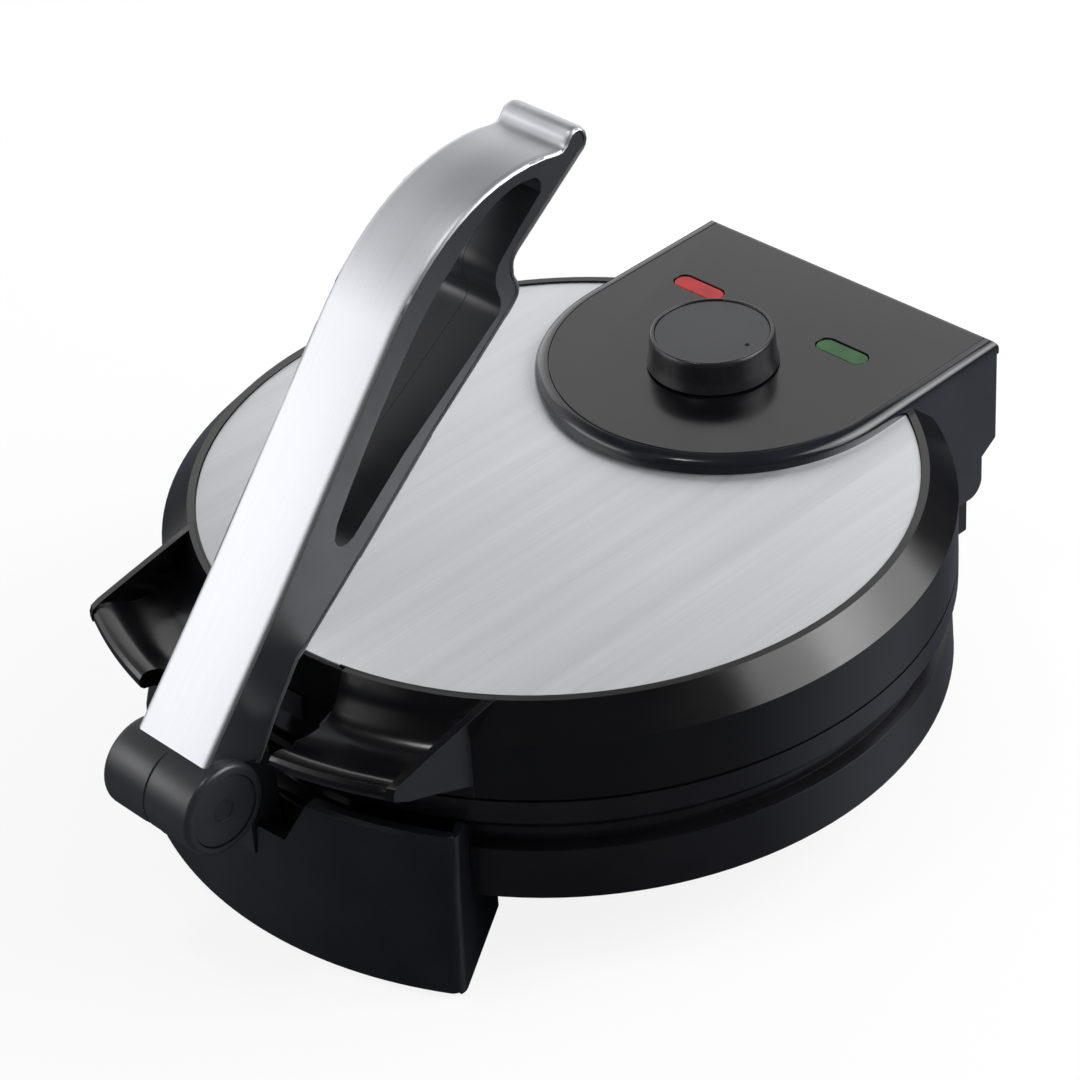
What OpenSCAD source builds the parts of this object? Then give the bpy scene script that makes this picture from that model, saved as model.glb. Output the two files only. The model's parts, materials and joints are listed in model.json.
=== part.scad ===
/* [Body] */
// Radius of the brushed steel disc on top of the lid
disc_r = 118; // [110:1:126]
// Height of the steel disc above the table
disc_z = 98.5; // [94:0.5:104]
// Height of the joint between lid and base
part_z = 68; // [65:0.5:71]
// Height of the underside of the base above the table
base_z = 27.7; // [24:0.1:31]
// How far the body stands out past the steel disc
bevel_w = 12.5; // [11:0.1:14]
// Drop of the bevel round the disc
bevel_drop = 9; // [7:0.1:11]
// Height of the rim that holds the disc
rim_h = 0.7; // [0.4:0.1:1.2]
// Thickness of the moulded walls
wall = 2.6; // [2:0.1:3]
// Width of the dark groove between lid and base
groove = 1; // [0.6:0.1:1.4]
// Thickness of the steel disc
disc_t = 0.8; // [0.6:0.1:1.2]

/* [Cooking plates] */
// How far the cast cooking plates stay inside the disc's edge
plate_inset = 16.4; // [14:0.1:22]
// Thickness of each cooking plate
plate_t = 6; // [5:0.1:7]
// Space between the closed plates
plate_gap = 1.2; // [0.8:0.1:2]
// How far the heating tube's ring stays inside the plate's edge
element_inset = 29.6; // [18:0.1:40]
// Radius of the heating tube
element_tube_r = 3.2; // [2.6:0.1:3.6]
// Thickness of the pressed steel heat shields
shield_t = 1; // [0.8:0.1:1.2]
// Depth of the well that holds a plate and its heating tube
well_h = 14; // [13:0.1:15]

/* [Control box] */
// Half width of the control box at the foot of its bezel
box_hw = 66; // [62:0.5:70]
// How far the middle of the round front of the box is inside the disc's edge
box_inset = 34.5; // [31:0.5:38]
// How far the flat rear wall stands out past the body
rear_out = 16.3; // [14:0.1:21]
// Radius of the rounded top edge at the rear of the box
rear_round = 3; // [1:0.1:4]
// Height of the control panel above the disc
panel_rise = 5.2; // [4.5:0.1:7]
// Width of the rounded edge round the control panel
bezel_w = 5; // [3.5:0.1:6]
// Depth of that rounded edge
bezel_drop = 3.4; // [2.5:0.1:4.5]
// Thickness of the control panel
panel_t = 2.5; // [2:0.1:3]
// Distance from the middle of the round front to the knob axis
knob_ahead = 7.5; // [4:0.5:11]
// Radius of the knob
knob_r = 21.6; // [18:0.1:24]
// Height of the knob above the panel
knob_h = 12.3; // [10:0.1:16]
// Distance from the middle to the left signal lens
power_lens_x = 36; // [30:0.5:38]
// Distance from the middle to the right signal lens
ready_lens_x = 29.5; // [27:0.5:38]
// Distance from the middle of the round front back to the lenses
lens_back = 24.7; // [19:0.1:28]
// Length of a signal lens
lens_len = 21.5; // [16:0.5:24]
// Width of a signal lens
lens_w = 8; // [6:0.1:9]
// Radius of the thermostat spindle
spindle_r = 3; // [2.5:0.1:3.5]

/* [Hinge] */
// How far the hinge axis stays inside the body
hinge_inset = 4.5; // [2.5:0.5:7.5]
// Depth of the hinge axis below the disc
hinge_drop = 46; // [44:0.5:48]
// Radius of the hinge pins
hinge_pin_r = 3; // [2.5:0.1:3.5]
// Thickness of the two hinge cheeks
cheek_t = 4; // [3.5:0.1:5]

/* [Lever] */
// How far the lever pivot stands out past the body
pivot_out = 34.8; // [32.5:0.1:37.5]
// Depth of the lever pivot below the disc
pivot_drop = 27.5; // [26:0.1:30]
// Straight distance from the pivot to the tip of the lever
lever_len = 233; // [220:1:250]
// Half width of the lever beside the barrel
lever_hw = 15.9; // [14:0.1:17.5]
// Half width of the lever at its tip
tip_hw = 14.7; // [13:0.1:16]
// Radius of the pivot barrel
barrel_r = 15.4; // [14.8:0.1:16.5]
// Half length of the pivot barrel
barrel_hl = 20; // [18.5:0.5:23]
// Thickness of the brushed metal skin
skin_t = 1.8; // [1.2:0.1:2.2]
// Radius of the pivot pin
pivot_pin_r = 4; // [3.5:0.1:4.5]
// Half thickness of the fixed lug inside the barrel
lug_ht = 4.4; // [3.5:0.1:5]

/* [Front press tray] */
// Half width of the tray with its two side fins
tray_hw = 70.5; // [66:0.5:74]
// Half width of the open channel that the lever stands in
channel_hw = 22; // [21:0.5:26]
// Half width of the tray opening between the front corners
corner_hw = 30; // [27:0.5:34]
// How far the tray lip stands out past the body
tray_out = 27; // [23.5:0.5:29.5]

/* [Feet] */
// Angle from the middle to each end of the front bracket
bracket_half_angle = 31; // [28:0.5:34]
// How far the foot of the front bracket stands out past the body
bracket_out = 16.8; // [14.5:0.1:18.5]
// Half width of the rear foot
rear_foot_hw = 56; // [50:1:58]
// Thickness of the rubber pads
pad_t = 1.5; // [1:0.1:2.5]

/* [Fits] */
// Radial clearance of a running fit
run_c = 0.05; // [0.02:0.01:0.09]
// Gap between parts that pass each other
pass_c = 0.5; // [0.4:0.05:0.8]

/* [Hidden] */
$fn = 96;
eps = 0.05;

body_r = disc_r + bevel_w;
plate_r = disc_r - plate_inset;
element_ring_r = plate_r - element_inset;
box_y = disc_r - box_inset;
box_rear = body_r + rear_out;
knob_y = box_y - knob_ahead;
lens_y = box_y + lens_back;
hinge_y = body_r - hinge_inset;
pivot_y = body_r + pivot_out;
tray_r = body_r + tray_out;
bracket_r = body_r + bracket_out;
shift_y = (pivot_y + barrel_r - box_rear) / 2;
rim_in = disc_r + 0.4;
rim_out = disc_r + wall + 0.4;
lid_bottom = part_z + groove / 2;
base_top = part_z - groove / 2;
wall_in = body_r - wall;
keep_r = disc_r + 0.5;
shield_r = disc_r;
lip_in = disc_r - 3;
lip_t = 2.5;
upper_z = part_z + plate_gap / 2;
lower_z = part_z - plate_gap / 2;
well_r = plate_r + wall;
screw_r = 1.2;
big = 4 * body_r;

cheek_out = box_hw - 0.8;
cheek_in = cheek_out - cheek_t;
tower_hw = cheek_in - pass_c;
slot_out = cheek_out + pass_c;
hinge_z = disc_z - hinge_drop;
tower_r = 3.8 * hinge_pin_r;
panel_r = box_hw - bezel_w;
panel_z = disc_z + panel_rise - panel_t;

pivot_z = disc_z - pivot_drop;
foot_z = pad_t;
base_r = body_r - 1.2;
cover_r = base_r - wall - 0.2;
band_z = base_top - 0.22 * (base_top - base_z);
recess_z = base_top - 0.34 * (base_top - base_z);
wall_z = base_top - 0.51 * (base_top - base_z);
bracket_hw = bracket_r * sin(bracket_half_angle);
bracket_top_r = bracket_r - 7.3;
bracket_top_z = band_z;
bracket_t = 4;
shelf_z = base_z + 4.8;
lug_foot_t = 3.5;

// --- helpers ---------------------------------------------------------------

module ring(points) {
    rotate_extrude($fn = 180) polygon(points);
}

// Cubic curve from a to d, steered by b and c
function curve(a, b, c, d, steps) = [for (i = [0 : steps]) let (t = i / steps, u = 1 - t)
    u * u * u * a + 3 * u * u * t * b + 3 * u * t * t * c + t * t * t * d];

module along_x(x0, x1) {
    translate([x0, 0, 0]) rotate([90, 0, 90]) linear_extrude(x1 - x0) children();
}

module rod_x(x0, x1, r) {
    translate([x0, 0, 0]) rotate([0, 90, 0]) cylinder(h = x1 - x0, r = r);
}

// Moves the body axis back, so that the origin is under the middle of the whole
module placed() {
    translate([0, shift_y, 0]) children();
}

module both_sides() {
    children();
    mirror([1, 0, 0]) children();
}

module slab(hw, y0, y1, z0, z1) {
    translate([-hw, y0, z0]) cube([2 * hw, y1 - y0, z1 - z0]);
}

module around(count, radius, start = 0) {
    for (i = [0 : count - 1]) rotate([0, 0, start + i * 360 / count]) translate([radius, 0, 0]) children();
}

module screw(head_r, head_h, shank_r, shank_h) {
    cylinder(h = head_h, r = head_r, $fn = 32);
    translate([0, 0, head_h]) cylinder(h = shank_h, r = shank_r, $fn = 24);
}

module stadium(length, width, r_extra = 0) {
    span = (length - width) / 2;
    for (s = [-1, 1]) translate([s * span, 0]) circle(d = width + 2 * r_extra, $fn = 48);
    square([2 * span, width + 2 * r_extra], center = true);
}

// --- lid -------------------------------------------------------------------

// Section of the round lid wall, from the rim down the bevel to the groove
lid_section = [
    [rim_in, disc_z + rim_h],
    [rim_out, disc_z + rim_h],
    [body_r - 0.2, disc_z - bevel_drop],
    [body_r, lid_bottom],
    [wall_in, lid_bottom],
    [wall_in, disc_z - bevel_drop - wall / 2],
    [rim_out - wall / 4, disc_z - disc_t - wall],
    [lip_in, disc_z - disc_t - wall],
    [lip_in, disc_z - disc_t],
    [rim_in, disc_z - disc_t],
];

// Section of the wall behind the lever, set back and lower than the rim
channel_foot_r = body_r - 4.5;
channel_mid_r = disc_r + 6;
channel_section = [
    [keep_r, disc_z],
    [disc_r + 1.8, disc_z - 0.3],
    [disc_r + 3.5, disc_z - 3.5],
    [channel_mid_r, disc_z - 12],
    [channel_foot_r, lid_bottom],
    [channel_foot_r - wall, lid_bottom],
    [channel_mid_r - wall, disc_z - 12],
    [keep_r, disc_z - 7],
];

// Section of the tray: rim, steep wall, dish, rounded lip, underside and wall
lid_h = disc_z - lid_bottom;
lip_round = 3;
lip_centre = [tray_r - lip_round, disc_z - 7.6 - lip_round];
tray_section = concat(
    [[disc_r + 1, disc_z + rim_h], [rim_out, disc_z + rim_h], [rim_out + 1.6, disc_z - 3]],
    curve([rim_out + 2.2, disc_z - 5], [disc_r + 7.5, disc_z - 14.5],
        [disc_r + 14, disc_z - 16.5], [tray_r - 15, disc_z - 13.5], 8),
    curve([tray_r - 12, disc_z - 12], [tray_r - 8, disc_z - 9.4],
        [tray_r - 6.5, disc_z - 7.8], [tray_r - lip_round, disc_z - 7.6], 4),
    [for (a = [60 : -30 : -60]) lip_centre + lip_round * [cos(a), sin(a)]],
    [
        [tray_r - lip_round - 2, disc_z - 14.2],
        [tray_r - 14, disc_z - 18.5],
        [body_r, disc_z - 0.82 * lid_h],
        [body_r, lid_bottom],
        [wall_in, lid_bottom],
        [wall_in, disc_z - 0.66 * lid_h],
        [disc_r + 1, disc_z - 0.45 * lid_h],
    ]
);

// Section of the side fin, whose top is a straight edge from the rim to the lip
fin_section = [
    [disc_r + 1, disc_z + rim_h],
    [rim_out + 0.3, disc_z + rim_h],
    [tray_r - lip_round, disc_z - 6.6],
    [tray_r - 0.6, disc_z - 7.6],
    [tray_r + 0.3, disc_z - 9.4],
    [tray_r + 0.3, disc_z - 11.8],
    [tray_r - lip_round - 1.6, disc_z - 15],
    [tray_r - 14, disc_z - 19],
    [body_r + 0.3, disc_z - 0.84 * lid_h],
    [body_r + 0.3, lid_bottom],
    [wall_in, lid_bottom],
    [wall_in, disc_z - 0.68 * lid_h],
    [disc_r + 1, disc_z - 0.48 * lid_h],
];

tray_x0 = channel_hw + wall;
fin_x0 = tray_hw - wall;

// Plan of the tray, with its corner beside the lever cut back to the lip
module tray_plan() {
    polygon([
        [tray_x0, 0],
        [fin_x0 + 1, 0],
        [fin_x0 + 1, -tray_r - 5],
        [corner_hw, -tray_r - 5],
        [corner_hw, -tray_r + 12],
        [tray_x0, -tray_r + 18],
    ]);
}

module right_press_tray() {
    color("#141416") {
        intersection() {
            ring(tray_section);
            linear_extrude(big) tray_plan();
        }
        intersection() {
            ring(fin_section);
            translate([fin_x0, -2 * body_r, 0]) cube([wall, 2 * body_r, big]);
        }
    }
}

module left_press_tray() {
    mirror([1, 0, 0]) right_press_tray();
}

module lid_shell() {
    color("#17171a") {
        difference() {
            ring(lid_section);
            front_cut();
            rear_window(-eps, disc_z + 2 * rim_h);
            slab(cheek_in, 0, 2 * body_r, disc_z - disc_t, big);
            slab(box_hw + 0.1, 0, 2 * body_r, disc_z, big);
        }
        difference() {
            ring([
                [lip_in, lid_bottom + lip_t],
                [wall_in + eps, lid_bottom + lip_t],
                [wall_in + eps, lid_bottom + 2 * lip_t],
                [lip_in, lid_bottom + 2 * lip_t],
            ]);
            rear_window(-eps, disc_z);
            slab(tray_hw, -2 * body_r, 0, 0, disc_z);
            lid_screw_places() translate([0, 0, -big / 2]) cylinder(h = big, r = screw_r + eps, $fn = 24);
        }
        difference() {
            intersection() {
                ring([
                    [lip_in, lid_bottom + lip_t],
                    [channel_foot_r - wall / 2, lid_bottom + lip_t],
                    [channel_foot_r - wall / 2, lid_bottom + 2 * lip_t],
                    [lip_in, lid_bottom + 2 * lip_t],
                ]);
                slab(tray_hw + eps, -2 * body_r, 0, 0, disc_z);
            }
            lid_screw_places() translate([0, 0, -big / 2]) cylinder(h = big, r = screw_r + eps, $fn = 24);
        }
        intersection() {
            ring(channel_section);
            slab(channel_hw + wall / 2, -2 * body_r, 0, 0, big);
        }
        both_sides() channel_side();
    }
}

// Clears the round wall where the tray and the lever channel are
module front_cut() {
    difference() {
        slab(tray_hw, -2 * body_r, 0, 0, big);
        cylinder(h = big, r = disc_r + 0.9, $fn = 180);
    }
    slab(channel_hw, -2 * body_r, -0.5 * disc_r, disc_z, big);
}

// Clears the round wall between the hinge cheeks
module rear_window(z0, z1) {
    difference() {
        slab(slot_out, 0, 2 * body_r, z0, z1);
        translate([0, 0, -big / 2]) cylinder(h = 2 * big, r = keep_r, $fn = 180);
    }
}

module channel_side() {
    intersection() {
        ring([
            [channel_mid_r - wall, disc_z - 13],
            [body_r - 1, disc_z - 16],
            [body_r, lid_bottom],
            [channel_foot_r - wall, lid_bottom],
        ]);
        translate([channel_hw, -2 * body_r, 0]) cube([wall, 2 * body_r, big]);
    }
}

module lid_disc() {
    color("#c9cbce") difference() {
        translate([0, 0, disc_z - disc_t]) cylinder(h = disc_t, r = disc_r + 0.2, $fn = 180);
        translate([0, knob_y, 0]) cylinder(h = big, r = 0.3 * disc_r);
        lamp_places() cylinder(h = big, r = 0.4 * lens_w, $fn = 32);
    }
}

module press_pad() {
    color("#101012") intersection() {
        ring([
            [channel_mid_r + 0.35, disc_z - 13],
            [channel_mid_r + 1.2, disc_z - 13],
            [channel_mid_r + 2.1, disc_z - 21],
            [channel_mid_r + 1.25, disc_z - 21],
        ]);
        slab(channel_hw / 2, -2 * body_r, 0, 0, disc_z);
    }
}

module heat_shield(flange_z, away) {
    deep = flange_z + away * well_h;
    ring([
        [well_r, flange_z],
        [shield_r, flange_z],
        [shield_r, flange_z + away * shield_t],
        [well_r + shield_t, flange_z + away * shield_t],
        [well_r + shield_t, deep + away * shield_t],
        [0, deep + away * shield_t],
        [0, deep],
        [well_r, deep],
    ]);
}

upper_flange = lid_bottom + lip_t - shield_t;
lower_flange = base_top - lip_t + shield_t;

module upper_heat_shield() {
    color("#8f9195") difference() {
        heat_shield(upper_flange, 1);
        lid_screw_places() translate([0, 0, -big / 2]) cylinder(h = big, r = screw_r + eps, $fn = 24);
    }
}

module lower_heat_shield() {
    color("#8f9195") difference() {
        heat_shield(lower_flange, -1);
        shield_screw_places() translate([0, 0, -big / 2]) cylinder(h = big, r = screw_r + eps, $fn = 24);
    }
}

module cooking_plate(face_z, away) {
    edge = plate_t / 4;
    ring([
        [0, face_z],
        [plate_r - edge, face_z],
        [plate_r, face_z + away * edge],
        [plate_r, face_z + away * plate_t],
        [0, face_z + away * plate_t],
    ]);
}

module upper_plate() {
    color("#2a2a2d") cooking_plate(upper_z, 1);
}

module lower_plate() {
    color("#2a2a2d") cooking_plate(lower_z, -1);
}

module heating_tube(z) {
    translate([0, 0, z]) rotate_extrude($fn = 120) translate([element_ring_r, 0])
        circle(r = element_tube_r, $fn = 32);
}

module upper_element() {
    color("#6b6d70") heating_tube(upper_z + plate_t + element_tube_r);
}

module lower_element() {
    color("#6b6d70") heating_tube(lower_z - plate_t - element_tube_r);
}

post_r = 5;
post_ring_r = 0.87 * plate_r;

module upper_plate_posts() {
    bottom = upper_z + plate_t;
    color("#b5b7ba") around(3, post_ring_r, 30) translate([0, 0, bottom])
        cylinder(h = upper_flange + well_h - bottom, r = post_r, $fn = 48);
}

module lower_plate_posts() {
    top = lower_z - plate_t;
    bottom = lower_flange - well_h;
    color("#b5b7ba") around(3, post_ring_r, 30) translate([0, 0, bottom])
        cylinder(h = top - bottom, r = post_r, $fn = 48);
}

module lid_screw_places() {
    around(6, (shield_r + lip_in) / 2, 0) children();
}

module shield_screw_places() {
    around(6, (shield_r + lip_in) / 2, 30) children();
}

screw_head_h = 0.7;

module lid_screws() {
    color("#9a9ca0") lid_screw_places() translate([0, 0, upper_flange - screw_head_h])
        screw(1.9 * screw_r / 1.2, screw_head_h, screw_r, shield_t + 0.8 * lip_t);
}

module shield_screws() {
    color("#9a9ca0") shield_screw_places() translate([0, 0, lower_flange + screw_head_h])
        mirror([0, 0, 1]) screw(1.9 * screw_r / 1.2, screw_head_h, screw_r, shield_t + 0.8 * lip_t);
}

// --- control box -----------------------------------------------------------

module d_plan(half_width) {
    difference() {
        translate([0, box_y]) circle(r = half_width, $fn = 120);
        translate([-half_width, box_y]) square([2 * half_width, half_width]);
    }
    translate([-half_width, box_y]) square([2 * half_width, box_rear - box_y]);
}

// Rounds the rear top edge of the box
module rear_rounded() {
    top = disc_z + panel_rise;
    intersection() {
        children();
        along_x(-box_hw - 1, box_hw + 1) {
            translate([-big, 0]) square([big + box_rear, top - rear_round]);
            translate([-big, 0]) square([big + box_rear - rear_round, top]);
            translate([box_rear - rear_round, top - rear_round]) circle(r = rear_round);
        }
    }
}

// Half outline of the box top: skirt, rounded edge and flat top
bezel_edge = concat(
    [[box_hw, disc_z]],
    [for (a = [0 : 15 : 90]) [panel_r + bezel_w * cos(a), disc_z + panel_rise + bezel_drop * (sin(a) - 1)]]
);

module bezel_body() {
    half = concat([[0, disc_z]], bezel_edge, [[0, disc_z + panel_rise]]);
    difference() {
        translate([0, box_y, 0]) rotate_extrude($fn = 180) polygon(half);
        slab(box_hw + 1, box_y, 2 * box_rear, 0, big);
    }
    translate([0, box_rear, 0]) rotate([90, 0, 0]) linear_extrude(box_rear - box_y) polygon(concat(
        bezel_edge,
        [for (i = [len(bezel_edge) - 1 : -1 : 0]) [-bezel_edge[i][0], bezel_edge[i][1]]]
    ));
}

// Side outline of a hinge cheek, in distance to the rear and height
cheek_front_y = sqrt(keep_r * keep_r - cheek_in * cheek_in) + 1.2;
cheek_low_y = sqrt(body_r * body_r - cheek_out * cheek_out) + 0.9;
rear_low_z = disc_z - 0.75 * hinge_drop;
cheek_foot_z = hinge_z - 2.53 * hinge_pin_r;
cheek_rear_y = hinge_y + 4.5 * hinge_pin_r;
module cheek_plan() {
    corner = 2 * hinge_pin_r;
    polygon([
        [cheek_front_y, disc_z + 1],
        [cheek_front_y, lid_bottom + 0.4],
        [cheek_low_y, lid_bottom + 0.4],
        [cheek_low_y, cheek_foot_z + corner],
        [cheek_low_y + corner, cheek_foot_z],
        [cheek_rear_y - corner, cheek_foot_z],
        [cheek_rear_y - corner, cheek_foot_z + corner],
        [cheek_rear_y, cheek_foot_z + corner],
        [cheek_rear_y, rear_low_z - 4.5],
        [box_rear, rear_low_z],
        [box_rear, disc_z + 1],
    ]);
    translate([cheek_rear_y - corner, cheek_foot_z + corner]) circle(r = corner, $fn = 64);
}

module control_box() {
    color("#222226") rear_rounded() difference() {
        union() {
            difference() {
                bezel_body();
                translate([0, 0, panel_z - eps]) linear_extrude(big) d_plan(panel_r + 0.3);
                translate([0, 0, disc_z - 1]) linear_extrude(big) translate([0, -wall]) d_plan(panel_r - 2);
            }
            both_sides() along_x(cheek_in, cheek_out) cheek_plan();
            slab(cheek_out, box_rear - wall, box_rear, rear_low_z, panel_z);
        }
        both_sides() translate([0, hinge_y, hinge_z])
            rod_x(cheek_in - 1, cheek_in + 0.55 * cheek_t, hinge_pin_r + run_c);
    }
}

// The lamps sit under the inner ends of the lenses, clear of the lid's lip
lamp_in = 8;
module lamp_places() {
    for (x = [lamp_in - power_lens_x, ready_lens_x - lamp_in]) translate([x, lens_y, 0]) children();
}

module lens_places() {
    for (x = [-power_lens_x, ready_lens_x]) translate([x, lens_y, 0]) children();
}

module control_panel() {
    color("#3a3b3e") rear_rounded() difference() {
        translate([0, 0, panel_z]) linear_extrude(panel_t) d_plan(panel_r);
        translate([0, knob_y, 0]) cylinder(h = big, r = 1.4 * spindle_r);
        lens_places() translate([0, 0, panel_z - 1]) linear_extrude(big) stadium(lens_len, lens_w);
    }
}

lens_flange = 1.5;
module lens() {
    translate([0, lens_y, panel_z - lens_flange]) {
        linear_extrude(lens_flange) stadium(lens_len, lens_w, 2);
        linear_extrude(lens_flange + panel_t - 0.3) stadium(lens_len - 0.2, lens_w - 0.2);
    }
}

module power_lens() {
    color("#c01822") translate([-power_lens_x, 0, 0]) lens();
}

module ready_lens() {
    color("#3f6a45") translate([ready_lens_x, 0, 0]) lens();
}

lamp_h = 9;
module indicator_lamps() {
    color("#d9d2c4") lamp_places() translate([0, 0, panel_z - lens_flange - lamp_h])
        cylinder(h = lamp_h, r = 0.3 * lens_w, $fn = 32);
}

module thermostat() {
    case_w = 30;
    case_h = 9;
    collar_r = 1.8 * spindle_r;
    case_top = panel_z - 6;
    color("#b9b3a6") difference() {
        union() {
            translate([-case_w / 2, knob_y - case_w / 2, case_top - case_h]) cube([case_w, case_w, case_h]);
            translate([0, knob_y, case_top - eps]) cylinder(h = panel_z - case_top + eps, r = collar_r);
            translate([0, knob_y, panel_z - 1.5]) cylinder(h = 1.5, r = 1.6 * collar_r);
        }
        translate([0, knob_y, case_top - 0.6 * case_h]) cylinder(h = big, r = spindle_r + run_c);
    }
}

knob_gap = 0.6;
knob_z = disc_z + panel_rise + knob_gap;
knob_top = disc_z + panel_rise + knob_h;
insert_t = 1.2;
insert_deep = 0.5;
spindle_top = knob_top - insert_deep - insert_t - 1;

module spindle() {
    color("#c4a557") translate([0, knob_y, panel_z - 6 - 5])
        cylinder(h = spindle_top - (panel_z - 6 - 5), r = spindle_r);
}

module knob() {
    roof_z = knob_top - insert_deep - insert_t;
    color("#2b2b2e") difference() {
        translate([0, knob_y, 0]) ring([
            [0, knob_z],
            [knob_r + 1, knob_z],
            [knob_r, knob_z + 0.3 * knob_h],
            [knob_r - 0.3, knob_top - 1],
            [knob_r - 0.9, knob_top],
            [knob_r - 2, knob_top],
            [knob_r - 2, roof_z],
            [0, roof_z],
        ]);
        difference() {
            translate([0, knob_y, knob_z - 1]) cylinder(h = roof_z - wall - knob_z + 1, r = knob_r - wall);
            translate([0, knob_y, 0]) cylinder(h = big, r = 2.2 * spindle_r);
        }
        translate([0, knob_y, 0]) cylinder(h = spindle_top, r = spindle_r + 0.02);
    }
}

module knob_insert() {
    color("#38393c") difference() {
        translate([0, knob_y, knob_top - insert_deep - insert_t]) cylinder(h = insert_t, r = knob_r - 2.15);
        translate([0.68 * knob_r, knob_y + 0.05 * knob_r, knob_top - insert_deep - 0.5])
            cylinder(h = 2, r = 0.9, $fn = 24);
    }
}

// --- base ------------------------------------------------------------------

// Section of the base wall: band, undercut, recess and foot
base_section = [
    [wall_in, base_top],
    [body_r, base_top],
    [body_r, band_z + 0.6],
    [body_r - 0.6, band_z],
    [body_r - 3.4, band_z - 3.6],
    [body_r - 6, recess_z],
    [body_r - 6, wall_z + 1],
    [base_r - 0.8, wall_z - 0.4],
    [base_r, base_z + 0.8],
    [base_r - 0.8, base_z],
    [base_r - wall, base_z],
    [base_r - wall - 0.2, wall_z - 3],
    [body_r - 6 - wall, wall_z],
    [body_r - 6 - wall, recess_z + 1],
    [wall_in - 3.2, band_z],
    [wall_in, band_z + 2],
];

module base_shell() {
    color("#151517") difference() {
        union() {
            ring(base_section);
            ring([
                [lip_in, base_top - lip_t],
                [wall_in + eps, base_top - lip_t],
                [wall_in + eps, base_top - 2 * lip_t],
                [lip_in, base_top - 2 * lip_t],
            ]);
        }
        rear_window(wall_z - 5, big);
        slab(tower_hw + 0.4, 0.8 * body_r, 2 * body_r, 0, hinge_z + tower_r - 2);
        shield_screw_places() translate([0, 0, wall_z]) cylinder(h = big, r = screw_r + eps, $fn = 24);
        bracket_screw_places() rod_x(-3 * wall, 3 * wall, 1.6);
    }
}

module bottom_cover() {
    color("#1b1b1d") difference() {
        translate([0, 0, base_z]) cylinder(h = wall, r = cover_r, $fn = 180);
        slab(tower_hw + 0.4, tower_front - 1, 2 * body_r, 0, big);
        cover_screw_places() translate([0, 0, base_z - 1]) cylinder(h = big, r = 1.6, $fn = 24);
        vent_slots();
    }
}

module vent_slots() {
    for (i = [-3 : 3]) translate([0.12 * i * plate_r, 0, base_z - 1]) linear_extrude(3 * wall)
        rotate(90) stadium(0.6 * plate_r, 1.5 * wall);
}

module cover_screw_places() {
    around(4, cover_r - 9, 45) children();
}

module cover_screws() {
    color("#9a9ca0") cover_screw_places() translate([0, 0, base_z - 1.5]) screw(3, 1.5, 1.5, wall + 4);
}

// Length of one pole of the terminal block, and its height
block_l = 4 * hinge_pin_r;
block_h = 0.8 * block_l;
module terminal_block() {
    front = 0.5 * plate_r;
    bottom = base_z + wall;
    color("#d8d2c2") difference() {
        slab(1.5 * block_l, front, front + 1.2 * block_l, bottom, bottom + block_h);
        for (i = [-1 : 1]) translate([i * 0.92 * block_l, front + 0.6 * block_l, bottom + 0.4 * block_h])
            cylinder(h = block_h, r = 0.22 * block_l, $fn = 24);
    }
}

tower_front = well_r + shield_t + 1.2;
tower_rear = hinge_y + tower_r;

module hinge_tower() {
    side_t = 3 * hinge_pin_r;
    color("#1b1b1e") difference() {
        union() {
            along_x(-tower_hw, tower_hw) polygon([
                [tower_front, base_z],
                [tower_rear, base_z],
                [tower_rear, hinge_z],
                [hinge_y, hinge_z],
                [hinge_y, hinge_z + 0.85 * tower_r],
                [tower_front, hinge_z + 0.8 * tower_r],
            ]);
            translate([0, hinge_y, hinge_z]) rod_x(-tower_hw, tower_hw, tower_r);
        }
        slab(tower_hw - side_t, tower_front - 1, tower_rear - wall, base_z + wall, hinge_z + 0.5 * tower_r);
        translate([0, hinge_y, hinge_z]) rod_x(-big, big, hinge_pin_r + 0.02);
    }
}

module hinge_pins() {
    color("#a9abae") both_sides() translate([0, hinge_y, hinge_z])
        rod_x(tower_hw - 3 * hinge_pin_r, cheek_in + 0.45 * cheek_t, hinge_pin_r);
}

rear_foot_r = base_r - 2;
gland_z = (foot_z + base_z) / 2;
gland_r = 5;

module rear_foot() {
    color("#151517") difference() {
        intersection() {
            union() {
                ring([
                    [rear_foot_r - 3, foot_z],
                    [rear_foot_r, base_z],
                    [rear_foot_r - bracket_t, base_z],
                    [rear_foot_r - bracket_t - 3, foot_z],
                ]);
                ring([
                    [rear_foot_r - 14, foot_z],
                    [rear_foot_r - 5, foot_z],
                    [rear_foot_r - 5, foot_z + wall],
                    [rear_foot_r - 14, foot_z + wall],
                ]);
                ring([
                    [rear_foot_r - 14, base_z - wall],
                    [rear_foot_r - 1, base_z - wall],
                    [rear_foot_r - 1, base_z],
                    [rear_foot_r - 14, base_z],
                ]);
            }
            slab(rear_foot_hw, 0, big, 0, big);
        }
        translate([0, rear_foot_r - 5 * bracket_t, gland_z]) rotate([-90, 0, 0])
            cylinder(h = 16 * bracket_t, r = gland_r + eps);
    }
}

module rear_pads() {
    color("#2b2b2b") both_sides() intersection() {
        ring([
            [rear_foot_r - 13, 0],
            [rear_foot_r - 5, 0],
            [rear_foot_r - 5, foot_z],
            [rear_foot_r - 13, foot_z],
        ]);
        translate([0.4 * rear_foot_hw, 0, 0]) cube([0.5 * rear_foot_hw, big, big]);
    }
}

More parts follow.
